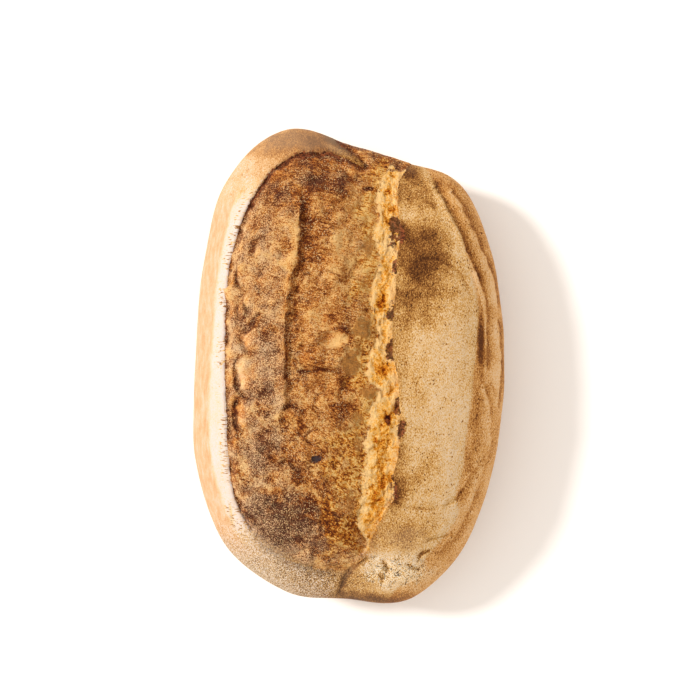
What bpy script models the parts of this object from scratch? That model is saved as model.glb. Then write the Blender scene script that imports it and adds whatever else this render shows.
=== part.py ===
"""A scored country loaf: one solid of bread, standing on its flat base.

+Y runs along the loaf, +X across it and +Z up. The origin is on the base, under the middle of
the loaf's box. One long cut along the top has sprung open. Left of it a band of the first crust
keeps its edge, in the middle the dough that swelled out of the cut shows, and on the right the
crust has lifted into a thin lip, the ear, that leans over the torn crumb.
"""

from itertools import pairwise
from math import atan2, cos, exp, hypot, pi, radians, sin, sqrt

import bmesh
import bpy
from mathutils import Vector, noise

# Driving sizes, in metres.
LENGTH = 0.270
WIDTH = 0.177
HEIGHT = 0.094

# The body. Shares of the driving sizes.
WIDEST_AT = 0.40  # height of the widest level
BASE_SHARE = 0.79  # the base's reach, as a share of the outline's
SHOULDER = 2.35  # higher gives a flatter top and a tighter shoulder
CROWN = 2.0
TUCK = 2.2  # roundness of the side, where it tucks in to the base
ARCH = 0.13  # how much of the dome's rise is lost at the loaf's ends
# How far the outline reaches, as a share of a plain ellipse, at even steps of angle from +X.
OUTLINE = (
    *(0.99, 1.01, 1.04, 0.93, 0.93, 1.08, 1.11, 1.02),
    *(0.985, 1.065, 1.10, 1.02, 0.995, 1.055, 1.055, 1.01),
)

# The ear: the line of its lip as (y, x), from the far end to the crease at the near end.
EAR_LINE = (
    (0.136, 0.040),
    (0.112, 0.0325),
    (0.095, 0.0275),
    (0.074, 0.0285),
    (0.022, 0.0235),
    (-0.030, 0.0290),
    (-0.060, 0.0250),
    (-0.075, 0.0235),
    (-0.092, 0.0140),
    (-0.106, 0.0090),
    (-0.120, -0.002),
    (-0.136, -0.006),
)
EAR_LIFT = 0.0040
EAR_OVERHANG = 0.0012
EAR_UNDERCUT = 0.0016
EAR_ENDS = (-0.122, -0.096)  # the lip and the tear fade in between these, from the near end

# The tear: the line of its bottom as (y, x).
TEAR_LINE = (
    (0.136, 0.020),
    (0.100, 0.0155),
    (0.055, 0.0150),
    (0.037, 0.0108),
    (0.022, 0.0138),
    (0.004, 0.0100),
    (-0.009, 0.0142),
    (-0.025, 0.0102),
    (-0.041, 0.0135),
    (-0.063, 0.0060),
    (-0.090, 0.0020),
    (-0.112, -0.008),
    (-0.136, -0.018),
)
TEAR_DEPTH = 0.0150
TEAR_STEEPNESS = 0.50  # less than 1 makes the wall of crumb steepest right under the lip
TEAR_SLOPE = 0.0170  # how far the opened dough slopes down into the tear

# The band of first crust round the opening, as (angle in degrees, width), and its edge.
BAND = (
    *((82, 0.002), (92, 0.011), (103, 0.016), (118, 0.022)),
    *((155, 0.019), (215, 0.0225), (258, 0.017), (276, 0.026)),
)
BAND_STEP = 0.0016
BAND_GROOVE = 0.0022
DOUGH_SWELL = 0.0030

# The second lip, a low step in the opened dough, as (x, y from, y to).
STEPS = ((-0.0265, 0.055, 0.092), (-0.0340, -0.020, 0.056))
STEP_DROP = 0.0022

# The crust's unevenness.
LUMP_SIZE = 0.030
LUMP_HEIGHT = 0.0016
CRAG_SIZE = 0.0085
CRAG_HEIGHT = 0.0013
FOLD_GAP = 0.0062  # the folds along the right flank
FOLD_HEIGHT = 0.0007

# The mesh.
ACROSS, ALONG, RINGS = 42, 50, 12
TOP_SHARE = 0.88  # the grid that makes the top reaches this share of the outline
LIP_COLUMN = 0.30  # the column of the grid, from -1 to 1, that becomes the root of the lip


def smooth(low, high, value):
    """0 below low, 1 above high, and a smooth rise between."""
    t = min(max((value - low) / (high - low), 0.0), 1.0)
    return t * t * (3 - 2 * t)


def bump(value, middle, reach):
    """1 at the middle, falling away smoothly on both sides."""
    return exp(-(((value - middle) / reach) ** 2))


def curve(p0, p1, p2, p3, t):
    """A Catmull-Rom curve from p1 to p2."""
    return p1 + 0.5 * t * (p2 - p0 + t * (2 * p0 - 5 * p1 + 4 * p2 - p3 + t * (3 * (p1 - p2) + p3 - p0)))


def between(points, at):
    """The value at a place along a list of (place, value) pairs, eased from one to the next."""
    points = sorted(points)
    if at <= points[0][0]:
        return points[0][1]
    for (low, first), (high, second) in pairwise(points):
        if at <= high:
            return first + (second - first) * smooth(low, high, at)
    return points[-1][1]


def outline_share(angle):
    """The outline's reach at an angle from +X, as a share of the plain ellipse's."""
    steps = len(OUTLINE)
    place = (angle / (2 * pi) * steps) % steps
    first = int(place) % steps
    return curve(*(OUTLINE[(first + k) % steps] for k in (-1, 0, 1, 2)), place - int(place))


def ear_x(y):
    """Where the lip of the ear is, across the loaf."""
    return between(EAR_LINE, y)


def tear_x(y):
    """Where the bottom of the tear is, across the loaf."""
    return between(TEAR_LINE, y)


def top_height(share, along):
    """The height of the plain dome, at a share of the way out and a share of the half length."""
    widest = WIDEST_AT * HEIGHT
    rise = (HEIGHT - widest) * (1 - ARCH * along**2)
    return widest + rise * (1 - min(share, 1.0) ** SHOULDER) ** (1 / CROWN)


def side_profile(count):
    """(share, height) down the side at mid-length, evenly spaced, from the top to the base."""
    fine = 400
    widest = WIDEST_AT * HEIGHT
    track = []
    for i in range(fine + 1):
        angle = pi / 2 * (1 - i / fine)
        share = TOP_SHARE + (1 - TOP_SHARE) * cos(angle)
        track.append((share, top_height(share, 0)))
    for i in range(1, fine + 1):
        angle = pi / 2 * i / fine
        share = BASE_SHARE + (1 - BASE_SHARE) * max(cos(angle), 0.0) ** (2 / TUCK)
        track.append((share, widest * (1 - sin(angle) ** (2 / TUCK))))
    run = [0.0]
    for (s0, z0), (s1, z1) in pairwise(track):
        run.append(run[-1] + hypot((s1 - s0) * WIDTH / 2, z1 - z0))
    picked = []
    at = 0
    for i in range(1, count + 1):
        while at < len(run) - 1 and run[at] < run[-1] * i / count - 1e-9:
            at += 1
        picked.append(track[at])
    picked[-1] = (BASE_SHARE, 0.0)
    return picked


def grid_lines(count, density):
    """count + 1 places from -1 to 1, closer together where the density is higher."""
    fine = 2000
    run = [0.0]
    for i in range(fine):
        run.append(run[-1] + density(-1 + 2 * (i + 0.5) / fine))
    lines = []
    at = 0
    for i in range(count + 1):
        while at < fine and run[at] < run[-1] * i / count:
            at += 1
        lines.append(-1 + 2 * at / fine)
    lines[-1] = 1.0
    nearest = min(range(count + 1), key=lambda i: abs(lines[i] - LIP_COLUMN))
    lines[nearest] = LIP_COLUMN
    return lines


def close_to_ear(u):
    """More of the grid's lines run where the tear and the lip are."""
    return 1 + 3.2 * bump(u, LIP_COLUMN - 0.06, 0.12)


def on_outline(across, along, share):
    """The plan point in a direction given on a unit circle, at a share of the way out."""
    angle = atan2(along, across)
    reach = outline_share(angle) * share
    return WIDTH / 2 * reach * across, LENGTH / 2 * reach * along


def direction(u, v):
    """(across, along, reach) on the unit circle of a point of the square grid."""
    across, along = u * sqrt(1 - v * v / 2), v * sqrt(1 - u * u / 2)
    reach = hypot(across, along)
    return (across / reach, along / reach, reach) if reach > 1e-9 else (1.0, 0.0, 0.0)


def lip_place(v):
    """Where along a row of the grid the root of the lip is, found by halving."""
    low, high = -1.0, 1.0
    for _ in range(30):
        middle = (low + high) / 2
        across, along, reach = direction(middle, v)
        x, y = on_outline(across, along, TOP_SHARE * reach)
        if x < ear_x(y) + EAR_OVERHANG:
            low = middle
        else:
            high = middle
    return (low + high) / 2


def along_lip(u, lip):
    """Slides a row's points so that the lip's own column lies on the root of the lip."""
    if u < LIP_COLUMN:
        return -1 + (u + 1) * (lip + 1) / (LIP_COLUMN + 1)
    return 1 - (1 - u) * (1 - lip) / (1 - LIP_COLUMN)


def body():
    """The plain loaf: a grid for the top, rings for the side and one flat face for the base."""
    mesh = bmesh.new()
    bmesh.ops.create_grid(mesh, x_segments=ACROSS, y_segments=ALONG, size=1)
    columns = grid_lines(ACROSS, close_to_ear)
    lips = [lip_place(-1 + 2 * row / ALONG) for row in range(ALONG + 1)]
    rim = [edge for edge in mesh.edges if edge.is_boundary]
    directions = {}
    for vertex in mesh.verts:
        u = columns[round((vertex.co.x + 1) / 2 * ACROSS)]
        lip = lips[round((vertex.co.y + 1) / 2 * ALONG)]
        across, along, reach = direction(along_lip(u, lip), vertex.co.y)
        share = TOP_SHARE * reach
        vertex.co = (*on_outline(across, along, share), top_height(share, along * reach))
        directions[vertex] = (across, along)
    for share, height in side_profile(RINGS):
        before = {vertex for edge in rim for vertex in edge.verts}
        made = bmesh.ops.extrude_edge_only(mesh, edges=rim)["geom"]
        rim = [part for part in made if isinstance(part, bmesh.types.BMEdge)]
        for vertex in {vertex for edge in rim for vertex in edge.verts}:
            linked = {edge.other_vert(vertex) for edge in vertex.link_edges}
            across, along = directions[vertex] = directions[(linked & before).pop()]
            domed = height > WIDEST_AT * HEIGHT
            z = top_height(share, along) if domed else height
            vertex.co = (*on_outline(across, along, share), z)
    bmesh.ops.contextual_create(mesh, geom=rim)
    bmesh.ops.recalc_face_normals(mesh, faces=mesh.faces)
    return mesh


def into_outline(x, y):
    """(share, distance) of a plan point: how far out it is, and how far in from the outline."""
    across, along = x / (WIDTH / 2), y / (LENGTH / 2)
    reach = hypot(across, along)
    share = reach / outline_share(atan2(along, across))
    distance = hypot(x, y) * (1 / share - 1) if share > 1e-6 else WIDTH / 2
    return share, distance


def opened(point):
    """How far a point is inside the opening, in metres. Less than 0 is on the first crust."""
    x, y = point.x, point.y
    inset = into_outline(x, y)[1]
    angle = atan2(y, x) % (2 * pi)
    band = between([(radians(at), width) for at, width in BAND], angle)
    return min(inset - band, ear_x(y) - x)


def ear_forms(point):
    """(shift across, rise) that make the lip of the ear, the wall of crumb under it and the tear."""
    y = point.y
    along = smooth(*EAR_ENDS, y) * smooth(-0.010, 0.012, into_outline(point.x, y)[1])
    beyond = point.x - ear_x(y) - EAR_OVERHANG
    if beyond > -1e-5:
        shift = -EAR_OVERHANG * exp(-beyond / 0.005)
        rise = EAR_LIFT * exp(-beyond / 0.014)
    else:
        wall = ear_x(y) - tear_x(y)
        shift = EAR_UNDERCUT * bump(beyond, -0.0014, 0.0016)
        slope = 1 - smooth(wall, wall + TEAR_SLOPE, -beyond)
        rise = -TEAR_DEPTH * min(-beyond / wall, 1) ** TEAR_STEEPNESS * slope
    return shift * along, rise * along


def dough_forms(point):
    """The rise of the opened dough: it swells, with a groove where it leaves the first crust."""
    inside = opened(point)
    swell = DOUGH_SWELL * smooth(0.0, 0.020, inside)
    groove = -BAND_STEP * bump(inside, BAND_GROOVE / 2, BAND_GROOVE)
    left = smooth(0.004, -0.006, point.x - ear_x(point.y))
    steps = 0.0
    for x, low, high in STEPS:
        wave = 0.0015 * noise.noise(Vector((x, point.y, 0.5)) / 0.012)
        near = smooth(low - 0.006, low + 0.006, point.y) * (1 - smooth(high - 0.006, high + 0.006, point.y))
        past = point.x - x - wave
        crest = bump(past, -0.002, 0.0035) if past < 0 else 0.6 * bump(past, 0, 0.0015)
        steps += near * STEP_DROP * (0.6 * crest - 0.7 * bump(past, 0.004, 0.004) * (past > 0))
    return (swell + groove + steps * (inside > 0)) * left


def flank_forms(point):
    """The rise of the folds that run round the right flank, below its shoulder."""
    inset = into_outline(point.x, point.y)[1]
    right = smooth(0.035, 0.065, point.x) * smooth(0.020, 0.050, point.z)
    fold = 0.5 + 0.5 * cos(2 * pi * inset / FOLD_GAP + 3 * noise.noise(point / 0.05))
    return FOLD_HEIGHT * right * fold * (1 - smooth(0.018, 0.026, inset))


def unevenness(point):
    """The rise of slow lumps everywhere, and of crags where the dough was torn."""
    lumps = LUMP_HEIGHT * noise.noise(point / LUMP_SIZE)
    torn = smooth(-0.001, 0.004, opened(point)) * smooth(0.030, 0.045, point.z)
    crags = CRAG_HEIGHT * torn * noise.noise(point / CRAG_SIZE + Vector((7, 3, 1)))
    return lumps + crags


def knead(mesh):
    """Moves the plain loaf's points into the true form, and leaves the base flat."""
    for vertex in mesh.verts:
        point = vertex.co.copy()
        if point.z < 1e-6:
            continue
        upper = smooth(0.35 * HEIGHT, 0.62 * HEIGHT, point.z)
        shift, rise = ear_forms(point)
        rise += dough_forms(point)
        vertex.co += upper * Vector((shift, 0, rise))
    mesh.normal_update()
    moves = {}
    for vertex in mesh.verts:
        if vertex.co.z > 1e-6:
            clear = smooth(0.0, 0.012, vertex.co.z)
            moves[vertex] = vertex.normal * clear * (unevenness(vertex.co) + flank_forms(vertex.co))
    for vertex, move in moves.items():
        vertex.co += move


def settle(mesh):
    """Scales the loaf to its driving sizes and centres it over its base."""
    low = [min(vertex.co[i] for vertex in mesh.verts) for i in range(3)]
    high = [max(vertex.co[i] for vertex in mesh.verts) for i in range(3)]
    for vertex in mesh.verts:
        for i, size in enumerate((WIDTH, LENGTH, HEIGHT)):
            middle = (low[i] + high[i]) / 2 if i < 2 else low[i]
            vertex.co[i] = (vertex.co[i] - middle) * size / (high[i] - low[i])


def crust():
    """Baked crust: golden brown and matt."""
    material = bpy.data.materials.new("crust")
    material.use_nodes = True
    shader = material.node_tree.nodes["Principled BSDF"]
    shader.inputs["Base Color"].default_value = (0.52, 0.29, 0.12, 1)
    shader.inputs["Roughness"].default_value = 0.75
    shader.inputs["Metallic"].default_value = 0
    return material


def loaf():
    """The loaf as one object."""
    mesh = body()
    knead(mesh)
    settle(mesh)
    bmesh.ops.triangulate(mesh, faces=[face for face in mesh.faces if len(face.verts) == 4])
    data = bpy.data.meshes.new("loaf")
    mesh.to_mesh(data)
    mesh.free()
    data.materials.append(crust())
    data.shade_smooth()
    made = bpy.data.objects.new("loaf", data)
    collection = bpy.data.collections.new("country_loaf")
    bpy.context.scene.collection.children.link(collection)
    collection.objects.link(made)
    return made


for old in list(bpy.data.objects):
    bpy.data.objects.remove(old)
loaf()
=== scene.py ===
# %% [markdown]
# # A scored country loaf
# A country loaf is one piece of dough, baked free on a hot stone. The baker cuts it once along its
# top, and in the oven the cut springs open. That leaves four kinds of skin to model: the first
# crust, floury where the proving basket dusted it, the dough that swelled out of the cut and
# toasted, the torn crumb, and the thin lip, called the ear, that lifted away from it.
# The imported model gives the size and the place. This lesson makes one closed mesh that stands for
# its plain solid, and one material whose finishes meet along the cut's edges.

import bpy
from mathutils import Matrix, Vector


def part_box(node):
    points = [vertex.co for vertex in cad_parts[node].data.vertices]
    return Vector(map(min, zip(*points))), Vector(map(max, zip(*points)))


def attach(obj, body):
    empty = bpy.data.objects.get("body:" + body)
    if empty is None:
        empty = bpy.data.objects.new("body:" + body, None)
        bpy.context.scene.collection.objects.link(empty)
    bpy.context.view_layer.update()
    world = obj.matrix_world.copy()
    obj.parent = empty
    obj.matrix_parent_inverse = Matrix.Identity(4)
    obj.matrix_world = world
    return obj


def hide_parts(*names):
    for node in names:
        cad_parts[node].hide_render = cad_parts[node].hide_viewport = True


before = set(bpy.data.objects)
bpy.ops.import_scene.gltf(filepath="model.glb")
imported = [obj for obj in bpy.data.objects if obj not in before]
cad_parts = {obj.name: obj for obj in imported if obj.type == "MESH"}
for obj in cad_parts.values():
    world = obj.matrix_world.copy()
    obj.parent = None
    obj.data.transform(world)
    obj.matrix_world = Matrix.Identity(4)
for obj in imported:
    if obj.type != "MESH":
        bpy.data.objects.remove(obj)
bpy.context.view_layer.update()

# %% Modules, and the size to work to
import math
from itertools import pairwise

import bmesh
import bpy
import numpy as np
from mathutils import Vector, noise

LOW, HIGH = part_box("loaf")
SIZE = HIGH - LOW
print("the loaf is", [round(1000 * side) for side in SIZE], "mm")

# %% [markdown]
# ## Small tools for shaping
# Bread has no straight edges, so every form here starts and ends softly. Two curves do most of
# that work: an eased step from 0 to 1, and a bump that is 1 in its middle. A third tool draws a
# smooth line through a few places, for the edges and the creases.


# %% Eased steps, bumps and smooth lines
def smooth(low, high, value):
    """0 below low, 1 above high, with an eased rise between."""
    t = np.clip((value - low) / (high - low), 0, 1)
    return t * t * (3 - 2 * t)


def bump(value, middle, reach):
    """1 at the middle, falling away on both sides."""
    return np.exp(-(((value - middle) / reach) ** 2))


def between(a, b, c, d, t):
    """The Catmull-Rom curve from b, where t is 0, to c, where it is 1."""
    return b + 0.5 * t * (c - a + t * (2 * a - 5 * b + 4 * c - d + t * (3 * (b - c) + d - a)))


def flowing(places, closed=False, steps=8):
    """A smooth curve through places in millimetres, as an array in metres."""
    given = np.array(places, float) / 1000
    if closed:
        given = np.vstack([given[-1:], given, given[:2]])
    else:
        given = np.vstack([2 * given[0] - given[1], given, 2 * given[-1] - given[-2]])
    t = np.linspace(0, 1, steps, endpoint=False)[:, None]
    parts = [between(*four, t) for four in zip(given, given[1:], given[2:], given[3:])]
    return np.vstack([*parts, given[-2:-1]])


def mm(length):
    """A length in millimetres, for printing."""
    return round(1000 * float(length), 1)


print("half an eased step:", smooth(0, 1, 0.5))


# %% Distance to a line
def beside(line, plan):
    """(distance, side) of plan points from a line: side is over 0 on the line's right."""
    nearest = np.full(len(plan), 1e9)
    side = np.ones(len(plan))
    for start, end in pairwise(line):
        way = end - start
        long = max(float(way @ way), 1e-12)
        off = plan - start
        t = np.clip(off @ way / long, 0, 1)
        gap = np.hypot(*(off - t[:, None] * way).T)
        closer = gap < nearest
        turned = off[:, 0] * way[1] - off[:, 1] * way[0]
        nearest = np.where(closer, gap, nearest)
        side = np.where(closer, np.where(turned > 0, 1.0, -1.0), side)
    return nearest, side


def within(line, plan):
    """Signed distance of plan points from a closed line, over 0 inside it."""
    distance, _ = beside(line, plan)
    crossings = np.zeros(len(plan), int)
    x, y = plan.T
    for (x0, y0), (x1, y1) in pairwise(line):
        rise = y1 - y0 if abs(y1 - y0) > 1e-12 else 1e-12
        crossings += ((y0 > y) != (y1 > y)) & (x < x0 + (y - y0) / rise * (x1 - x0))
    return np.where(crossings % 2 == 1, distance, -distance)


unit = flowing([(0, 0), (1000, 0), (1000, 1000), (0, 1000)], closed=True)
print("inside a rounded metre:", within(unit, np.array([[0.5, 0.5]])).round(2))

# %% [markdown]
# ## Noise with a size
# Crust is uneven at every scale, from lumps as wide as a thumb to grains under a millimetre.
# Blender's noise is sampled at each point, and its size is in metres, so that a value can be set
# beside a ruler. The seed only moves the sample, so each run is the same.


# %% Noise at a size
def uneven(points, size, seed, octaves=1, stretch=(1, 1, 1)):
    """Soft noise between about -1 and 1, with lumps about as wide as the size."""
    spots = points / (size * np.array(stretch)) + np.array((3.7, 9.1, 5.3)) * seed
    return np.array([noise.fractal(Vector(spot), 1.0, 2.0, octaves) for spot in spots])


print("three samples:", uneven(np.eye(3), 0.03, 1).round(2))

# %% [markdown]
# ## The outline and the cut
# Seen from above the loaf is a long oval with a dent where the cut runs out over the far end.
# Its outline is kept as shares of a plain ellipse, at even steps of angle. The lip of the ear and
# the bottom of the tear run the length of the loaf. The opening's other edge was cut by the blade,
# so it is a clean line round the left side.

# %% The outline
OUTLINE = (
    0.99, 1.01, 1.05, 0.935, 0.935, 1.08, 1.11, 1.02,
    0.985, 1.065, 1.1, 1.045, 0.995, 1.07, 1.06, 1.01,
)


def outline_reach(angle):
    """The outline's reach at an angle from +X, as a share of the plain ellipse's."""
    place = angle / (2 * math.pi) * len(OUTLINE) % len(OUTLINE)
    first = int(place)
    four = [OUTLINE[(first + k) % len(OUTLINE)] for k in (-1, 0, 1, 2)]
    return between(*four, place - first)


def on_outline(across, along, share):
    """The plan point in a direction on the unit circle, at a share of the way out."""
    reach = outline_reach(math.atan2(along, across)) * share
    return SIZE.x / 2 * reach * across, SIZE.y / 2 * reach * along


def ring_points(count=240):
    """The outline as a closed line."""
    turns = [2 * math.pi * i / count for i in range(count + 1)]
    return np.array([on_outline(math.cos(turn), math.sin(turn), 1) for turn in turns])


RAW_LOW, RAW_HIGH = ring_points().min(axis=0), ring_points().max(axis=0)
print("before fitting:", (1000 * (RAW_HIGH - RAW_LOW)).round(), "mm")


# %% Fit the outline to the solid
def fitted(x, y):
    """A plan point moved so that the whole outline fills the solid's box."""
    shares = (np.array((x, y)) - RAW_LOW) / (RAW_HIGH - RAW_LOW)
    return LOW.x + shares[0] * SIZE.x, LOW.y + shares[1] * SIZE.y


EDGE = np.array([fitted(x, y) for x, y in ring_points()])
print("after fitting:", (1000 * np.ptp(EDGE, axis=0)).round(), "mm")

# %% The lip, the tear and the opening
LIP = flowing([
    (40, 140), (35.5, 120), (33, 113), (28.2, 103.4), (27.3, 90.8), (28.6, 74.5), (27.2, 62.5),
    (25, 40.7), (23.6, 28.7), (23.4, 17.2), (24.2, 4.2), (27.2, -8.9), (27.6, -21.5), (29.6, -30.7),
    (28.2, -40), (26.2, -50.9), (24.6, -59.6), (25.2, -72.1), (20.7, -78.1), (17.5, -84.7),
    (14.2, -90.7), (11.5, -97.5), (9.6, -103.7), (2.2, -112.6), (-2.4, -119), (-5, -130), (-6, -140),
])
TEAR = flowing([
    (20, 140), (21, 116), (19, 108), (16.4, 101), (15.2, 94), (14.6, 88.5), (14.2, 78), (12.1, 72),
    (14.7, 66.6), (15.9, 58), (13.6, 47.4), (10.7, 36.5), (13.6, 25.5), (14.1, 14.5), (11.5, 9),
    (9.4, 2), (9.7, -7.4), (15, -12.9), (14.1, -18.3), (10.7, -23.8), (8.2, -40), (7.8, -51),
    (6.2, -68), (5, -81), (3.9, -88.5), (7.9, -95), (10.3, -100.5), (2, -108), (-8, -119), (-12, -140),
])
OPENING = flowing([
    (-9, 142), (-8.5, 129), (-4, 124.4), (1.5, 120.3), (8.5, 112.6), (4, 113.2), (-2.6, 116.6),
    (-11.6, 119.5), (-24, 119.7), (-33.7, 115.8), (-42.6, 109.2), (-49, 100.3), (-55.3, 90.4),
    (-59.9, 79.3), (-63.8, 66.6), (-66.6, 53.9), (-68.2, 34), (-68.6, 14.6), (-68.4, -10),
    (-67.5, -34.6), (-66.3, -54), (-63.6, -73.3), (-57.4, -87), (-48.5, -98.8), (-35.4, -107.2),
    (-21.5, -112.7), (-7, -114), (6, -110), (45, -90), (60, 0), (60, 142),
], closed=True)
LIP_WAVER, WAVER_SIZE = 0.0006, 0.0045
LIP[:, 0] += LIP_WAVER * uneven(np.column_stack([LIP, 0 * LIP[:, 0]]), WAVER_SIZE, 30, 2)


def across_at(line, y):
    """Where a line that runs along the loaf is, across it."""
    order = np.argsort(line[:, 1])
    return np.interp(y, line[order, 1], line[order, 0])


print("the cut is", mm(np.ptp(OPENING[:, 1])), "mm long")

# %% [markdown]
# ## The plain loaf
# A grid is bent round for the top, its rim is extruded down the side in rings, and one face closes
# the base. Bending a square grid on to a disc leaves no pole at the crown, where the cut is. One
# column of the grid is slid on to the lip, so the ear has a clean edge and not a row of teeth,
# and more columns crowd into the tear, where the crumb needs them.

# %% How many lines the grid has
ACROSS, ALONG, RINGS = 206, 262, 38
TOP_SHARE = 0.88
LIP_COLUMN = 0.3
OVERHANG = 0.0012


def crowded(count):
    """Places from -1 to 1, closer together by the tear, one of them at the lip's column."""
    fine = np.linspace(-1, 1, 4001)
    run = np.cumsum(1 + 1.9 * bump(fine, LIP_COLUMN - 0.08, 0.13))
    places = np.interp(np.linspace(run[0], run[-1], count + 1), run, fine)
    places[np.argmin(abs(places - LIP_COLUMN))] = LIP_COLUMN
    return places


print("narrowest column:", mm(np.diff(crowded(ACROSS)).min() * SIZE.x / 2), "mm")


# %% From the square grid to the outline
def direction(u, v):
    """(across, along, reach) on the unit circle, of a point of the square grid."""
    across, along = u * math.sqrt(1 - v * v / 2), v * math.sqrt(1 - u * u / 2)
    reach = math.hypot(across, along)
    return (across / reach, along / reach, reach) if reach > 1e-9 else (1.0, 0.0, 0.0)


def lip_place(v):
    """Where along a row of the grid the root of the lip is, found by halving."""
    low, high = -1.0, 1.0
    for _ in range(24):
        middle = (low + high) / 2
        across, along, reach = direction(middle, v)
        x, y = fitted(*on_outline(across, along, TOP_SHARE * reach))
        if x < across_at(LIP, y) + OVERHANG:
            low = middle
        else:
            high = middle
    return (low + high) / 2


def along_lip(u, lip):
    """Slides a row's points so that the lip's column lies on the lip."""
    if u < LIP_COLUMN:
        return -1 + (u + 1) * (lip + 1) / (LIP_COLUMN + 1)
    return 1 - (1 - u) * (1 - lip) / (1 - LIP_COLUMN)


print("the lip in the middle row:", round(lip_place(0), 2))

# %% The dome and the side
WIDEST = 0.4 * SIZE.z
BASE_SHARE, SHOULDER, TUCK, ARCH = 0.79, 2.35, 2.2, 0.13


def dome(share, along):
    """The height of the top, at a share of the way out and a share of the half length."""
    rise = (SIZE.z - WIDEST) * (1 - ARCH * along**2)
    return WIDEST + rise * math.sqrt(max(1 - share**SHOULDER, 0))


def side_profile(count):
    """(share, height) down the side at mid-length, evenly spaced, from the top to the base."""
    quarter = np.linspace(0, math.pi / 2, 400)
    shares = TOP_SHARE + (1 - TOP_SHARE) * np.sin(quarter)
    upper = [(share, dome(share, 0)) for share in shares]
    reach = np.clip(np.cos(quarter), 0, 1) ** (2 / TUCK)
    drop = np.sin(quarter) ** (2 / TUCK)
    lower = np.column_stack([BASE_SHARE + (1 - BASE_SHARE) * reach, WIDEST * (1 - drop)])
    track = np.vstack([upper, lower[1:]])
    steps = np.hypot(np.diff(track[:, 0]) * SIZE.x / 2, np.diff(track[:, 1]))
    run = np.concatenate([[0], np.cumsum(steps)])
    wanted = np.linspace(0, run[-1], count + 1)[1:]
    return list(zip(np.interp(wanted, run, track[:, 0]), np.interp(wanted, run, track[:, 1])))


print("the side ends at", np.round(side_profile(RINGS)[-1], 2))


# %% Bend the grid, extrude the side and close the base
def rank(face):
    """Each face's own number, as extruding makes them in no fixed order."""
    corners = [vertex.index for vertex in face.verts]
    return min(corners) * 1e6 + max(corners)


def plain_loaf():
    """The loaf before it is cut, as a closed bmesh."""
    mesh = bmesh.new()
    bmesh.ops.create_grid(mesh, x_segments=ACROSS, y_segments=ALONG, size=1)
    columns = crowded(ACROSS)
    lips = [lip_place(-1 + 2 * row / ALONG) for row in range(ALONG + 1)]
    rim = [edge for edge in mesh.edges if edge.is_boundary]
    ways = {}
    for vertex in mesh.verts:
        u = columns[round((vertex.co.x + 1) / 2 * ACROSS)]
        lip = lips[round((vertex.co.y + 1) / 2 * ALONG)]
        across, along, reach = direction(along_lip(u, lip), vertex.co.y)
        share = TOP_SHARE * reach
        vertex.co = (*fitted(*on_outline(across, along, share)), dome(share, along * reach))
        ways[vertex] = (across, along)
    for share, height in side_profile(RINGS):
        before = {vertex for edge in rim for vertex in edge.verts}
        made = bmesh.ops.extrude_edge_only(mesh, edges=rim)["geom"]
        rim = [part for part in made if isinstance(part, bmesh.types.BMEdge)]
        for vertex in {vertex for edge in rim for vertex in edge.verts}:
            linked = {edge.other_vert(vertex) for edge in vertex.link_edges}
            across, along = ways[vertex] = ways[(linked & before).pop()]
            z = dome(share, along) if height > WIDEST else height
            vertex.co = (*fitted(*on_outline(across, along, share)), z)
    bmesh.ops.contextual_create(mesh, geom=rim)
    bmesh.ops.recalc_face_normals(mesh, faces=mesh.faces)
    mesh.verts.index_update()
    mesh.faces.sort(key=rank)
    return mesh


shape = plain_loaf()
skin = bpy.data.meshes.new("crusty_loaf")
shape.to_mesh(skin)
shape.free()
print("the plain loaf has", len(skin.vertices), "points")

# %% [markdown]
# ## Places on the skin
# The forms and the finishes that follow ask the same questions of each point: how far is it inside
# the opening, how far past the lip, how far in from the outline? They are answered once, on the
# plain loaf, so that a form and its colour fall on the same spot.


# %% Read the points, and answer the questions
def read(source, what):
    """The points' places or normals, as an array."""
    flat = np.empty(3 * len(source))
    source.foreach_get(what, flat)
    return flat.reshape(-1, 3)


def reshape(points):
    """Moves the mesh's points to new places."""
    skin.vertices.foreach_set("co", points.ravel())
    skin.update()


start = read(skin.vertices, "co")
plan = start[:, :2]
x, y, z = start.T
inset = within(EDGE, plan)
inside = within(OPENING, plan)
lip_x, tear_x = across_at(LIP, y), across_at(TEAR, y)
past_lip = x - lip_x - OVERHANG
inside = np.minimum(inside + 0.0005 * uneven(start, 0.006, 20, 2), -past_lip)
END_HEIGHT, END_SLANT = 0.024, 0.45  # where the opening ends, on the far side of the loaf
runs_out = z - END_HEIGHT - END_SLANT * abs(x - 0.004) + 0.003 * uneven(start, 0.012, 40, 2)
inside = np.minimum(inside, 0.6 * runs_out)
near_end = smooth(-0.07, -0.104, y) * smooth(-0.075, -0.045, x)
upper = smooth(0.36 * SIZE.z, 0.62 * SIZE.z, z)
print("points inside the opening:", (inside > 0).sum())

# %% [markdown]
# ## The tear and the ear
# In the oven the cut edge on one side peels up and back. From above it is a thin lip, and under it
# a wall of crumb drops to the bottom of the tear. Left of that the opened dough climbs again. One
# profile across the loaf holds it all: each point knows how far it is from the lip, and the
# profile says how far to move it up and sideways.

# %% The profile across the tear
EAR_LIFT, UNDERCUT = 0.0042, 0.0016
TEAR_DEPTH, TEAR_SLOPE = 0.008, 0.021
EAR_FADES = (-0.118, -0.094)

ragged = uneven(start, 0.005, 1, 2)
wall = np.maximum(lip_x - tear_x + 0.0008 * ragged, 0.003)
foot = wall + 0.0004
below = (-past_lip).clip(0)
fading = smooth(*EAR_FADES, y) * smooth(-0.012, 0.008, inset) * upper
slope_width = TEAR_SLOPE + 0.007 * uneven(start, 0.014, 2, 2)
climb = np.clip(1 - (below - foot) / slope_width, 0, 1) ** 1.2
drop = TEAR_DEPTH * np.clip(below / foot, 0, 1) ** 0.55 * climb

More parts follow.
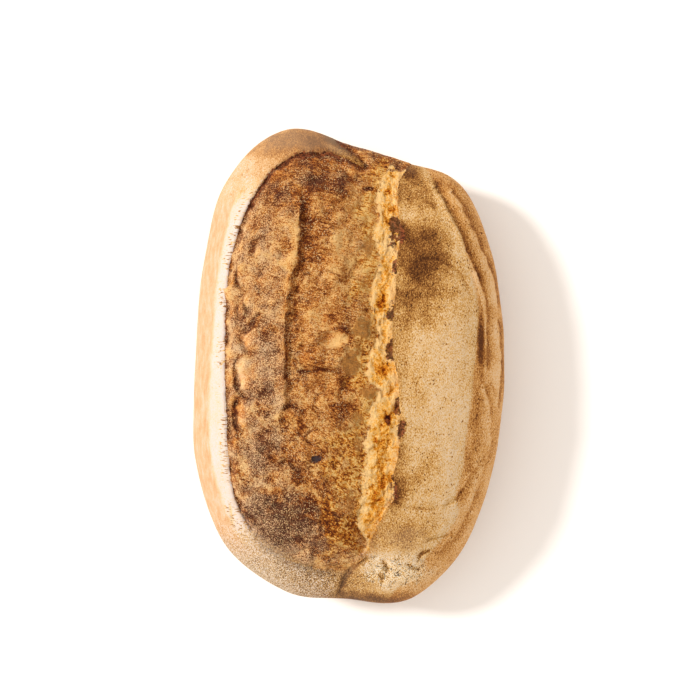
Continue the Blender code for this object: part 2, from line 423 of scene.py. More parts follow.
right = past_lip > -1e-5
CREST = 0.0018
crest = CREST * smooth(0.0007, -0.0007, below - wall) * smooth(0.1, 0.8, below / wall)
crest *= 0.8 + 0.9 * uneven(start, 0.0036, 25, 2)
rise = np.where(right, EAR_LIFT * np.exp(-past_lip.clip(0) / 0.014), crest - drop)
shift = np.where(
    right, -OVERHANG * np.exp(-past_lip.clip(0) / 0.005), UNDERCUT * bump(below, 0.0013, 0.0013)
)
rise, shift = rise * fading, shift * fading
print("the tear is", mm(-rise.min()), "mm deep")

# %% [markdown]
# ## The opened dough
# What swelled out of the cut stands a little proud of the first crust, with a narrow groove where
# the two meet. A second, shorter flap runs along it, full and rounded on its left and steep on its
# right, which keeps that side dark. Blisters are thin skins lifted by steam: domes with a crease
# round them. Folds run between them, one burst and left a pit, and two seeds lie in the dough.

# %% Swell, groove and flap
FLAP = flowing([
    (-25, 100), (-26.8, 88), (-27.4, 72), (-27.6, 60), (-31.4, 50), (-33.8, 36),
    (-34.2, 18), (-34.8, 2), (-34.8, -14), (-35.8, -30),
])
SWELL, SWELL_EDGE, GROOVE, RIM_ROLL, FLAP_HEIGHT = 0.0042, 0.0016, 0.0015, 0.0009, 0.0034
opened = smooth(0, 0.0006, inside)
swell = SWELL * smooth(0.001, 0.022, inside) + SWELL_EDGE * smooth(0.0012, 0.004, inside)
groove = -GROOVE * bump(inside, 0.0006, 0.0009) * (1 - near_end)
rim_roll = RIM_ROLL * bump(inside, -0.0022, 0.0022) * (1 - near_end)

flap_gap = x - across_at(FLAP, y) - 0.0013 * uneven(start, 0.005, 3, 2)
flap_length = smooth(-0.034, -0.012, y) * (1 - smooth(0.084, 0.098, y))
flap_left = np.exp(-(-flap_gap).clip(0) / 0.005)
flap_right = np.exp(-flap_gap.clip(0) / 0.0009) - 0.4 * bump(flap_gap, 0.0026, 0.0026)
flap = FLAP_HEIGHT * flap_length * opened * np.where(flap_gap < 0, flap_left, flap_right)

left = smooth(0.004, -0.01, past_lip) * upper
rise = rise + left * (swell * (inside > 0) + groove + rim_roll + flap)
print("the flap stands", mm(flap.max()), "mm proud")


# %% Ovals laid on the skin
def oval(spot, ruffle=0.0):
    """How far out each point is of an oval, 1 on it. The oval is x, y, half width and half length
    in mm, and its turn in degrees if it has one."""
    x, y, wide, long, turn = (*spot, 0)[:5]
    across, along = (1000 * plan - np.array((x, y))).T
    cos, sin = math.cos(math.radians(turn)), math.sin(math.radians(turn))
    u, v = across * cos + along * sin, along * cos - across * sin
    return np.hypot(u / wide, v / long) + ruffle


# %% Blisters
BLISTERS = (
    (-53.6, 14, 5.4, 7.8, 8, 2.2), (-56.4, -4.9, 6, 10.2, -4, 1.9), (-57.6, -25.8, 5.2, 10.2, -6, 1.9),
    (-53.6, 36.4, 4.4, 5.6, 1.3), (-58.9, 29, 2.7, 7, -8, 1.2), (-57, 50.4, 4.8, 7.2, -12, 1.6),
    (-48, 64.1, 5.2, 4.4, 20, 1.3), (-46.5, 46, 4, 5, 1.1), (-58.6, -55.1, 1.9, 1.9, 1.4),
    (-31, -26.6, 5.6, 4, 1.8), (-20.5, 5.6, 7.6, 6, -6, 1.7), (-21, 24, 5, 6, 1),
    (-13, -21, 5.2, 5.8, 1.3), (-33.5, 58, 4, 6, 1), (-24.6, -66.5, 4.6, 3, 10, 1.1),
    (-46, -42, 4, 5, 1.1), (-12, 46, 4.6, 5.6, 0.9), (-18, -38, 5, 3.6, 20, 1.1),
)
RING_DEPTH = 0.0014
ruffle = 0.18 * uneven(start, 0.006, 4, 2)
blistered, rings, domes = np.zeros((3, len(plan)))
for *spot, height in BLISTERS:
    out = oval(spot, ruffle)
    leftward = smooth(0.5, -0.8, (1000 * x - spot[0]) / spot[2])
    blistered += height / 1000 * np.sqrt(np.clip(1 - out**2, 0, 1)) * (0.35 + 0.65 * leftward)
    rings = np.maximum(rings, bump(out, 1.08, 0.7 / spot[2]) * leftward * min(height / 1.6, 1.2))
    calm = 0.85 if height > 1.8 else 0.3
    domes = np.maximum(domes, calm * smooth(1, 0.6, out) * (0.3 + 0.7 * leftward))
blistered -= RING_DEPTH * rings
print("blisters:", len(BLISTERS), "the highest", mm(blistered.max()), "mm")

# %% Folds between the blisters
FOLDS = (
    ([(-57.3, 33.9), (-56.1, 30), (-57.3, 27)], 1.1, 0.9),
    ([(-49, 28.5), (-52.3, 26.1), (-53.8, 22.6), (-57.3, 18.4), (-58.8, 14.5)], 1.2, 0.8),
    ([(-58.8, 14.5), (-57.3, 8.3), (-53.4, 7.1), (-46.5, 7.5), (-38, 8.3)], 0.9, 0.7),
    ([(-60.4, 5.3), (-62.7, 1.3), (-63.1, -4.9), (-61.9, -11), (-60, -13.7)], 1.2, 0.8),
    ([(-60, -13.7), (-56.5, -17.3), (-52.3, -17.3), (-46, -13.5)], 0.9, 0.8),
    ([(-61.9, -17.3), (-63.5, -22.8), (-63.5, -28.2), (-62.4, -34.4)], 1.8, 1.2),
    ([(-60.5, 61), (-62, 52), (-61.5, 45), (-58, 41.5)], 1, 0.8),
    ([(-29.4, 3.6), (-28.6, -1), (-25.5, -2.6), (-20.8, -2.9), (-14.6, -1.4), (-4.5, -2.9)], 1.8, 0.9),
    ([(-24, 50), (-28.3, 42), (-29.6, 30), (-28, 20)], 0.8, 0.9),
    ([(-24, 50), (-15, 53), (-6, 49.5)], 0.7, 0.9),
    ([(-36.5, -24), (-33, -21.8), (-27.5, -22), (-25, -25.5), (-25.8, -30)], 1.1, 0.8),
    ([(-47.5, 71), (-53, 68), (-54.5, 62)], 0.8, 0.8),
    ([(-22, -52), (-14, -54), (-6, -53)], 0.6, 0.8),
    ([(-43, -50), (-38, -53.5), (-33, -52), (-30, -56)], 0.9, 0.9),
)
# The folds' creases are marked here for their painted shade in the bake level.
fold_shade = np.zeros(len(plan))
for places, depth, width in FOLDS:
    gap, _ = beside(flowing(places), plan)
    reach = width / 1000
    fold_shade = np.maximum(fold_shade, min(depth, 1.2) * bump(gap + 0.5 * ruffle / 1000, 0, reach))
    blistered -= depth / 1000 * (bump(gap, 0, reach) - 0.4 * bump(gap, 2 * reach, reach))
print("folds:", len(FOLDS))

# %% The burst blister's pit, and two seeds
PIT = (-8.2, 14.6, 8.6, 5.4, 6)
pit_out = oval(PIT, 0.5 * ruffle)
PIT_DEPTH, PIT_RIM = 0.0024, 0.0012
pit = -PIT_DEPTH * (1 - smooth(0.45, 1, pit_out)) + PIT_RIM * bump(pit_out, 1.14, 0.16)
SEEDS = ((-18.1, -50.7, 3.2, 1.9, 8, 1.3), (10.9, 98.5, 3.0, 1.5, 4, 1.6))
seeded = np.zeros(len(plan))
for *spot, depth in SEEDS:
    sunk = smooth(1.05, 0.75, oval(spot))
    seeded = np.maximum(seeded, sunk)
    pit -= depth / 1000 * sunk
print("the pit is", mm(-pit.min()), "mm deep, and the seeds:", len(SEEDS))

# %% [markdown]
# ## Pleats and creases in the first crust
# The crust on the right stretched over the shoulder as the ear lifted. It kept the basket's rings as
# pleats that step down outwards, and it creased where the loaf bends at its near end. Each is a line
# with a height and a width, and a crease also has the strength of its painted shade. The pleats are
# painted paler above their step and darker below it, as painted light and shade.

# %% Pleats, which step down outwards, and creases
PLEATS = (
    ([(48, 100), (50.5, 95.5), (55.6, 85.4), (61.9, 72.7), (65.2, 63.8), (71.4, 49.9)], 2, 2.2),
    ([(71.4, 49.9), (75.5, 37), (76.7, 22.5), (77.1, 12), (76.5, 0)], 1.5, 1.6),
    ([(58, 97), (62, 91.7), (68.3, 79), (74.4, 64.6), (80, 51), (83, 36)], 1.8, 2),
    ([(75.5, -13), (78.1, -22), (78.7, -31), (79, -44), (75.1, -57.2), (70, -72)], 1.4, 1.7),
    ([(70, -72), (65.4, -82.4), (60.3, -92.6), (53, -102)], 1.4, 1.9),
    ([(77.5, -44), (72, -55), (66.5, -62), (60, -72)], 1, 1.4),
    ([(84, 24), (86, 2), (84, -20)], 0.9, 1.5),
)
# Each crease: its line, its depth and width in mm, and the strength of its painted shade.
CREASES = (
    ([(39.1, 58.7), (46, 59.4), (52.9, 57.6), (62.3, 50.4), (67.8, 36.6)], 0.5, 0.8, 0.16),
    ([(24.2, -73.4), (31.4, -77.3), (36.3, -78.4), (46.2, -78.9), (54.5, -76.7)], 0.5, 0.7, 0.22),
    ([(54.5, -76.7), (58.6, -74), (62.5, -68.5)], 1, 1.3, 0.2),
    ([(44.3, -96.7), (50.4, -95.6), (57.6, -93.9)], 0.8, 0.5, 0.3),
    ([(32.9, -110.6), (36.2, -113.4), (39.5, -114.5)], 1.2, 0.8, 0.75),
    ([(39, -108), (40.4, -104.8), (44.6, -103.4)], 0.9, 0.7, 0.6),
    ([(19.3, -108.8), (20.3, -111.4), (21.4, -114.2)], 1.8, 1, 0.8),
    ([(17.8, -116), (18.6, -119.8)], 1.4, 0.8, 0.8),
    ([(10, -107.6), (2.2, -112.6), (-2.2, -118.2), (-5, -126.8)], 1.5, 1.4, 0.44),
    ([(-2, -112), (-14, -117), (-30, -120)], 0.5, 1.2, 0.2),
    ([(-66, -78), (-64.5, -88), (-63, -97)], 0.4, 0.6, 0.16),
    ([(-67.6, 79), (-61, 96), (-58, 99)], 0.5, 0.6, 0.16),
)
STEP_WIDTH, SHOULDER_STEP = 0.0005, 0.0007
wobble = uneven(start, 0.006, 5, 2)
folded, pleat_light_and_shade, painted_crease_shade = np.zeros((3, len(plan)))
for places, height, width in PLEATS:
    gap, side = beside(flowing(places), plan)
    outwards = 0.0005 * wobble - gap * side
    step = -np.tanh(outwards / STEP_WIDTH) * np.exp(-abs(gap) / (width / 1000))
    folded += height / 1000 * step
    pleat_light_and_shade += step
print("pleats step by", mm(folded.min()), "to", mm(folded.max()), "mm")
for places, depth, width, shade in CREASES:
    gap, _ = beside(flowing(places), plan)
    mark = bump(gap + 0.0005 * wobble, 0, width / 1000)
    folded -= depth / 1000 * mark
    painted_crease_shade = np.maximum(painted_crease_shade, shade * mark)
print("creases:", len(CREASES))

# %% The shoulder
SHOULDER_LINE = flowing([
    (44, 110), (50.5, 97.8), (61.6, 75.6), (67.1, 53.4), (71.6, 31.3), (70.5, 9.1),
    (68.8, -2), (67.7, -15.9), (66, -25.3), (64.4, -41.4), (62.7, -57.5),
    (58.8, -71.4), (60, -84), (45, -105), (30, -122),
])
gap, side = beside(SHOULDER_LINE, plan)
over_shoulder = -gap * side
on_right = x > 0.02
folded -= SHOULDER_STEP * smooth(-0.0006, 0.0012, over_shoulder) * on_right
above_side = smooth(0.25 * SIZE.z, 0.45 * SIZE.z, z)
soft_near = 1 - 0.65 * smooth(0, -0.035, y) * smooth(0.045, 0.055, x)
pleat_light_and_shade, painted_crease_shade = pleat_light_and_shade * above_side * soft_near, painted_crease_shade * above_side
rise = rise + folded * above_side * (1 - opened)
print("points over the shoulder:", (over_shoulder > 0).sum())

# %% Move the points
moved = start.copy()
moved[:, 0] += shift
moved[:, 2] += rise + left * opened * (blistered + pit)
reshape(moved)
print("top of the formed loaf:", mm(moved[:, 2].max()), "mm")

# %% [markdown]
# ## The grain of the surface
# The last relief goes along the skin's own normals, in layers. Slow lumps run everywhere. The
# opened dough is knobbly, the tear's slope has stretched strands across it, and the wall of crumb
# is the roughest: pits where bubbles tore open, and crests between. The flat base is left alone.

# %% Which skin is where
far = y + 0.004 * ragged + 0.12 * below
ends = smooth(-0.107, -0.1, y) * smooth(0.113, 0.109, far)
frayed = wall - below + 0.0004 + 0.0026 * uneven(start, 0.0028, 24, 3, stretch=(2, 1, 1))
crumb = smooth(-0.0006, 0.0008, frayed) * smooth(0, 0.0004, -past_lip) * fading * ends
slope = climb.clip(0, 1) * (below > wall) * fading * opened
bloom = opened * (1 - crumb)
print("crumb:", crumb.mean().round(3), "of the skin, opened dough:", bloom.mean().round(3))

# %% Layers of relief
LUMP_HEIGHT, PUFF_HEIGHT, GRIT_HEIGHT, STRAND_HEIGHT = 0.0011, 0.0036, 0.0011, 0.0011
TORN_HEIGHT, HOLLOW_DEPTH, WRINKLE_HEIGHT = 0.0009, 0.0008, 0.0003
puffs = abs(uneven(start, 0.0135, 7, 2)) - 0.25
grits = uneven(start, 0.0036, 8, 2)
knobs = PUFF_HEIGHT * puffs + GRIT_HEIGHT * grits
turn = np.where(y < -0.02, 0.5, 0.12)
cos, sin = np.cos(turn), np.sin(turn)
fibre = np.column_stack([x * cos - y * sin, x * sin + y * cos, z])
strands = uneven(fibre, 0.0024, 11, 2, stretch=(4, 1, 1))
stretched = np.clip(slope + 0.8 * smooth(-0.026, -0.008, x) * smooth(-0.02, -0.05, y), 0, 1)
hollow = smooth(0.1, 0.6, uneven(moved, 0.0052, 10, 4))
torn = 0.8 * uneven(moved, 0.0032, 9, 3, stretch=(1, 1.5, 1)) + 0.5 * uneven(moved, 0.01, 21)
crests = TORN_HEIGHT * torn - HOLLOW_DEPTH * hollow
wrinkles = WRINKLE_HEIGHT * uneven(start, 0.004, 12, 2)
clear = smooth(0, 0.012, z)
relief = LUMP_HEIGHT * uneven(start, 0.032, 6) * clear + upper * (
    bloom * (knobs * (1 - 0.7 * stretched) + STRAND_HEIGHT * stretched * strands)
    + crumb * crests
    + (1 - opened) * wrinkles
)
reshape(moved + read(skin.vertex_normals, "vector") * (relief * clear)[:, None])
print("relief from", mm(relief.min()), "to", mm(relief.max()), "mm")

# %% Settle it into the solid's box
final = read(skin.vertices, "co")
got_low, got_high = final.min(axis=0), final.max(axis=0)
final = np.array(LOW) + (final - got_low) * np.array(SIZE) / (got_high - got_low)
reshape(final)
skin.shade_smooth()
print("scaled by", (np.array(SIZE) / (got_high - got_low)).round(3))

# %% [markdown]
# ## How much each place baked
# An oven browns a loaf unevenly: thin edges and high spots darken first, and flour keeps the crust under
# it pale. Each finish gets a bake level from 0, pale, to 1, nearly black. Ovals with ruffled edges place
# the browner and the paler spots, and the material adds the grain. The levels also hold painted shade,
# in creases and folds, round blisters and the pit, beside the flap and under the lip, and painted light
# on the flap's left flank and on the crumb's crest.


# %% Ovals of colour
def dabs(spots, soft=0.55, ruffled=0.5):
    """The sum of soft ovals, each followed by its strength."""
    total = np.zeros(len(plan))
    for *spot, strength in spots:
        total += strength * (1 - smooth(1 - soft, 1 + soft, oval(spot, ruffled * mottle)))
    return total


mottle = uneven(start, 0.0065, 13, 3)
print("the mottle runs from", mottle.min().round(2), "to", mottle.max().round(2))

# %% Bake level of the opened dough
DOUGH_DABS = (
    (-14, 116, 20, 4, -10, 0.26), (-21, 103.3, 3.4, 2.4, 0.35), (-11, 101, 9, 6, -15, 0.35),
    (-38.7, 94.1, 2.4, 1.8, 0.4), (-25.4, 87.7, 2, 1.7, 0.5), (-51.9, 79.3, 1.6, 3.4, 0.35),
    (-53.5, 64, 1.6, 2.8, 0.26), (-39.6, 63.7, 1.6, 1.3, 0.45), (-17.2, 58.2, 5, 3.4, 20, 0.25),
    (-49.6, 25.5, 4.4, 5.5, -30, 0.3), (-53, 24.4, 1.4, 2.2, -35, 0.45),
    (-43.7, -12.8, 6.6, 3.6, 35, 0.35), (-44.5, 18.9, 3, 5.5, 0.2), (-3, -24.2, 5.6, 5.2, 0.35),
    (-2.4, -9.5, 5.2, 6, 0.35), (-4, 25.2, 7.4, 4, 0.35), (-36.8, -29.3, 2.2, 1.5, 0.45),
    (-34.6, -34.4, 2.6, 1.6, 20, 0.45), (-25.8, -33, 2, 3, 20, 0.4), (-49.4, -56.5, 4.4, 5.6, 0.25),
    (-43.2, -61.7, 4.2, 2.2, 0.4), (-40, -72, 3, 8, 0.3), (-27.9, -60.5, 3.4, 3.4, 0.4),
    (-33.8, -46.9, 4.4, 5.6, 20, 0.25), (-22.3, -2.9, 7.8, 1.1, 0.55), (-56.6, -84, 2.6, 9, -24, 0.3),
    (-28, -88, 24, 16, 0.5), (-44, -84, 14, 12, -30, 0.14), (-9, -66, 14, 26, 0.06),
    (2, -92, 5, 16, 0.12), (-16, -20, 12, 14, -0.1), (6, 76, 10, 20, -0.13), (-18, 78, 6, 7, 30, 0.14),
    (0, 66, 5, 4, 20, 0.16), (-4, 56, 7, 4, 10, 0.12), (-20, 40, 5, 6, 0.1), (-30, 100, 28, 12, 0.45),
    (-54, -50, 16, 30, 0.08), (-46, -88, 16, 20, -30, 0.14), (-9, 50, 12, 34, -0.1),
    (-47, 50, 14, 24, -0.08), (-59, -6, 5, 40, -0.08), (-58.6, -55.1, 2.4, 2.6, -0.45),
    (-24.6, -66.5, 4.4, 2.6, 10, -0.3), (-61, 9.6, 2.4, 2.2, -0.5), (14, 123, 26, 9, -24, 0.3),
)
DOUGH_LEVEL = 0.42
# Blister rings and folds make the dough darker: painted shade in their creases, round the blisters on
# their left sides only.
dough_bake_and_shade = DOUGH_LEVEL + dabs(DOUGH_DABS) + 0.3 * rings + 0.42 * fold_shade - 0.2 * domes
dough_bake_and_shade -= 0.3 * puffs + 0.1 * grits
arch = smooth(0.07, 0.1, y) * smooth(0.014, -0.006, x)
pale_rim = bump(inside, 0.0032, 0.0018) * (1 - near_end)
dough_bake_and_shade += 0.4 * bump(inside, 0.0004, 0.0007) * (1 - 0.6 * near_end)
dough_bake_and_shade += 0.9 * seeded - 0.14 * pale_rim
dough_bake_and_shade += 0.5 * arch * smooth(0.0046 + 0.0016 * mottle, 0.002, inside)
print("places set by hand:", len(DOUGH_DABS))

# %% Painted shade and light beside the flap, and the pit's rim and floor
# Right of the flap the dough is darker, partly its own purple-brown toast and partly painted shade of
# the flap's steep side. Along its left flank it is paler, a painted highlight where it faces the light.
flap_reach = 0.0019 + 0.0024 * smooth(0.035, 0.06, y)
flap_shade = smooth(-0.0003, 0.0005, flap_gap) * np.exp(-flap_gap.clip(0) / flap_reach)
flap_far = smooth(0.045, 0.065, y)
flap_shade *= 1.0 + 0.5 * flap_far + 0.9 * mottle
dough_bake_and_shade += flap_length * 0.56 * flap_shade
dough_bake_and_shade -= (0.14 + 0.12 * flap_far) * flap_length * bump(flap_gap, -0.003, 0.003)
# The pit keeps a pale cream floor and a brown rim. The rim is darker on its upper side and brown patches
# lie in the floor's upper part: painted shade of the rim and wall.
pit_floor = 1 - smooth(0.6, 0.95, pit_out)
painted_pit_shade = dabs(((-10.4, 18, 3.4, 2.6, 0.4), (-14.6, 15.4, 2.6, 2, 0.34)), 0.4)
above_pit = smooth(-0.002, 0.004, y - 0.0146 + 0.6 * (x + 0.0082))
dough_bake_and_shade += 0.42 * bump(pit_out, 1.08, 0.13) * (0.45 + 0.75 * above_pit)
dough_bake_and_shade -= pit_floor * (0.52 - painted_pit_shade)
print("dough bake level:", dough_bake_and_shade[opened > 0.5].mean().round(2), "on average")

# %% Where flour dust greys the dough
DUSTY = (
    (-50.8, -75.9, 6, 6, 1), (-44, -6, 12, 20, -10, 0.35), (-32, -92, 26, 16, 0.85),
    (-14, 102, 14, 7, 0.4), (-48, -50, 8, 14, 0.3), (-61, 9.6, 3, 3, 0.6), (14, 121, 26, 8, -24, 0.4),
    (-22, 128, 30, 8, 0.9), (29.3, -96, 13, 8, 0.8),
)
dusty = dabs(DUSTY) - 0.22 + 0.62 * smooth(-0.012, -0.05, x) + 0.5 * smooth(-0.09, -0.12, y)
dusty -= flap_length * 0.25 * bump(flap_gap, 0.001, 0.004)
print("dusty points:", (dusty[opened > 0.5] > 0.5).sum())

# %% Bake level of the first crust
CRUST_DABS = (
    (36.1, 107.6, 4.6, 6, 20, 0.54), (38, 96, 12, 8, 0.34), (32, 84.6, 5, 3.6, -0.12),
    (40.6, 60, 14, 21, 4, 0.52), (31.3, 75, 3.4, 4.4, 0.22), (44, 72, 4, 4, 0.12),
    (37.6, 51.4, 5, 7, 0.16), (48.8, 59.6, 6, 5, 0.1), (35, 31, 12, 8, -30, 0.28), (29, 14, 5, 12, 0.18),
    (58, 36, 10, 10, 0.08), (34, -9, 6, 10, 0.08), (57, -30, 8, 34, -0.11), (24.6, -67.5, 5, 9, 8, 0.4),
    (33.5, -64, 14, 4, 50, 0.26), (29.3, -93, 14, 10, 0.3), (27.9, -114, 14, 8.5, -14, -0.4),
    (58, -84, 5, 8, -40, -0.16), (73.6, 13.7, 2.2, 14, 0.66), (71, -24, 3.6, 22, 0.08),
    (71, -34, 2.6, 14, 4, 0.08), (67, -55, 2.4, 7, 10, 0.14), (82, -5, 2.6, 6, -0.08),
    (29.4, -46, 3.4, 15, 4, 0.2), (46.9, -54.5, 6, 5, 0.12), (9, -132, 24, 4, 0.55),
    (-34, -113, 26, 10, -24, 0.16), (-8, -120, 20, 8, 0.28), (-20, 127, 34, 9, 0.54),
    (-42, 112, 12, 12, 0.15), (6, 118, 20, 8, -22, 0.36), (-6.5, 121.5, 9, 1.6, -28, -0.4),
)
flank = smooth(0.4 * SIZE.z, 0.2 * SIZE.z, z + 0.01 * uneven(start, 0.02, 42, 2))
CRUST_LEVEL = 0.33
right_side = smooth(0.008, 0.02, x)
crust_bake_and_shade = CRUST_LEVEL - 0.03 * right_side + dabs(CRUST_DABS, 0.85, 0.3) * (1 - 0.85 * flank)
beyond = smooth(-0.0006, 0.0008, over_shoulder) * on_right
crust_bake_and_shade += 0.14 * bump(past_lip, 0.0004, 0.001) * upper
# Creases darken the crust, as painted shade in them.
crust_bake_and_shade += 0.1 * beyond + painted_crease_shade + 0.1 * bump(over_shoulder, 0.0035, 0.0035) * beyond
# Pleats are paler on their upper side and darker on their lower side: painted light and shade.
crust_bake_and_shade -= 0.46 * pleat_light_and_shade.clip(0, 1) + 0.56 * pleat_light_and_shade.clip(-1, 0)
print("places set by hand:", len(CRUST_DABS))

# %% The pale band, the side and the near end's flour
left_side = smooth(0, -0.02, x) * (1 - flank)
band = left_side * smooth(0.108, 0.086, y) * smooth(-0.112, -0.085, y)
cream = smooth(0.0095, 0.0115, inset + 0.0006 * mottle)
crust_bake_and_shade -= 0.08 * left_side + band * (0.25 * cream - 0.06)
low_side = smooth(0.55 * SIZE.z, 0.1 * SIZE.z, z)
crust_bake_and_shade += 0.1 * low_side + flank * (0.06 + 0.16 * uneven(start, 0.024, 41, 3))
crust_bake_and_shade += 0.3 * smooth(0.008, 0, z)
far_left = left_side * smooth(0.088, 0.11, y)
peach = np.clip(band * (1 - cream) + 0.2 * beyond * (1 - flank) + 0.6 * far_left, 0, 1)
cracked = np.clip(dabs(((26.9, -115, 15, 8, -14, 1), (-30, -118, 40, 9, 0.25))), 0, 1)
print("crust bake level:", crust_bake_and_shade[opened < 0.5].mean().round(2), "on average")

# %% Char along the cut's edges, and painted shade under the lip
char_and_lip_shade = bump(inside, 0.0003 + 0.0006 * arch, 0.0006 + 0.001 * arch) * (1 - near_end)
char_and_lip_shade *= smooth(0.02, -0.01, x) * (0.34 + 0.36 * arch + 0.35 * uneven(start, 0.01, 22, 2))
# Dark dabs along the lip and down the tear: mostly char, and beside the lip at mid-length painted shade
# under its overhang.
LIP_CHAR_AND_SHADE = (
    (28.2, 73.4, 2.6, 6, 0.9), (24.4, 28.4, 1.4, 5, 0.9), (23.2, 9.6, 1.2, 6, 0.9),
    (28.9, -35, 3, 4.6, 1.1), (24.8, -67, 3.2, 8, 8, 0.7),
)
TEAR_CHAR_AND_SHADE = (
    (21.4, -29.5, 2, 4, 8, 0.8), (25.4, 74.4, 3.4, 8.6, 4, 1), (25.6, 55.8, 1.9, 4.2, 0.9),
    (22.8, 28.4, 1.7, 5.4, 0.8), (21.8, 9.6, 1.6, 6.4, 0.8), (26.1, -22.7, 1.6, 4.2, 0.8),
)
char_and_lip_shade += dabs(LIP_CHAR_AND_SHADE, 0.35) * bump(past_lip, -0.001, 0.0032)
char_and_lip_shade = np.clip(char_and_lip_shade + dabs(TEAR_CHAR_AND_SHADE, 0.4, 0.9) * (past_lip < 0.0004), 0, 1)
print("charred points:", (char_and_lip_shade > 0.5).sum())

# %% Smooth windows on the slope
WINDOWS = (
    (7.4, 21.4, 5.4, 5, 1), (4, 8, 3.6, 4.2, 0.7), (2, 0.6, 6.6, 5.6, 1), (10.8, -15.2, 3.9, 3.4, 0.9),
    (5.4, -28.5, 3.4, 3.2, 0.8), (4.6, -42.3, 2.6, 7, 0.6), (1, -72.6, 2.6, 9.6, 0.55),
    (10.4, 65.5, 3, 6, 0.7), (8, 43.1, 4, 5, 0.55), (14.4, 92, 3, 3, 0.6), (2.5, 88, 4.5, 5, 0.5),
)
window = np.clip(dabs(WINDOWS, 0.3), 0, 1) * bloom
print("window points:", (window > 0.5).sum())


# %% Bake level of the torn crumb, with painted light and shade
TORN_PITS = (
    (18.1, 57.3, 1, 1.8, 1), (17.6, 35.4, 2.6, 3.4, 0.7), (14.1, 24.4, 0.9, 1.6, 1.1),
    (18.7, -2.4, 3.4, 5.4, 0.6), (20.9, -29.3, 2.4, 5.4, 8, 1.3), (14.5, -40.8, 1.3, 1.8, 1),
    (18.7, -61, 3, 5, 0.6), (16, -76, 4, 8, 0.5), (24.1, 86.9, 2.2, 1.8, 0.9), (12.6, 78, 2.4, 4, 0.6),
    (22.5, 66, 3.4, 10, -0.8), (16, 92, 4, 8, -0.3), (18, 18, 3, 10, -0.4), (19, -16, 3, 6, -0.4),
)
strip = below / wall
pale = 0.13 + 0.1 * smooth(-0.02, -0.05, y)
crumb_bake_light_and_shade = 0.71 + 0.6 * torn - 0.55 * hollow - dabs(TORN_PITS, 0.5, 0.8)
# The crumb is paler at its left crest, partly its cream colour and partly a painted highlight where the
# crest faces the light, and darker orange across its middle.
crumb_bake_light_and_shade += 0.52 * bump(strip, 1, pale) - 0.46 * bump(strip, 0.6, 0.24)
crumb_bake_light_and_shade += 0.2 * bump(strip, 0.16, 0.14)
# Beside the lip, in the near half, the crumb is darker: painted shade under the lip.
crumb_bake_light_and_shade -= 0.4 * smooth(0.3, 0.06, strip) * smooth(-0.04, -0.056, y)
print("crumb level:", crumb_bake_light_and_shade[crumb > 0.5].mean().round(2), "on average")

# %% Where the slope is golden, and where the grain is smooth
golden = 1 - smooth(-0.084, -0.094, y) * smooth(0.005, 0.002, inside)
golden *= smooth(-0.111, -0.103, y)
golden *= np.maximum(slope, 0.75 * stretched) * (0.7 + 0.8 * uneven(start, 0.008, 23, 2))
dough_rough = 1 - np.clip(domes + 0.3 * pit_floor + 0.4 * pale_rim, 0, 1)
near_floury = left_side * smooth(-0.08, -0.112, y)
crust_rough = 1 - 0.75 * band * cream - 0.85 * band * (1 - cream) - 0.35 * far_left
crust_rough += 2.0 * near_floury + 1.7 * cracked * (1 - flank)
amber = np.maximum(np.maximum(beyond, 0.06 * near_floury), right_side * (0.16 + 0.7 * cracked))
palest = np.where(x > 0.012, 0.22 - 0.16 * cracked + 0.12 * smooth(0.03, 0.08, y), -1)
print("golden points:", (golden > 0.5).sum())

# %% Keep them with the mesh, one number for each point
KEPT = {
    "inside_cut": 1000 * inside / (0.25 + 7 * near_end),
    "crumb_edge": 1000 * np.minimum.reduce([frayed, -past_lip, 0.008 * (fading * ends - 0.5)]),
    "torn": crumb_bake_light_and_shade,
    "slope": golden,
    "window": window,
    "dough_bake_and_shade": dough_bake_and_shade,
    "dusty": dusty * (1 - 0.9 * flank),
    "rough": np.where(inside > 0, dough_rough, crust_rough.clip(0.12)),
    "crust_bake_and_shade": np.maximum(crust_bake_and_shade, palest),
    "peach": peach,
    "amber": amber + (0.45 - amber) * flank,
    "cracked": cracked * (1 - flank),
    "seed": seeded * smooth(0, -0.03, y),
    "band": band * cream,
    "char_and_lip_shade": char_and_lip_shade,
}
for name, values in KEPT.items():
    made = skin.attributes.new(name, "FLOAT", "POINT")
    made.data.foreach_set("value", values.astype(np.float32))
print("kept:", len(KEPT), "numbers for each point")

# %% [markdown]
# ## Shader maths that reads as maths
# A material is a tree of nodes. Wiring it by hand hides its sums, so one small class wraps a
# socket: adding, multiplying or subtracting wrapped sockets adds the Math nodes. One method makes
# any other node, and Mix nodes mix the colours.


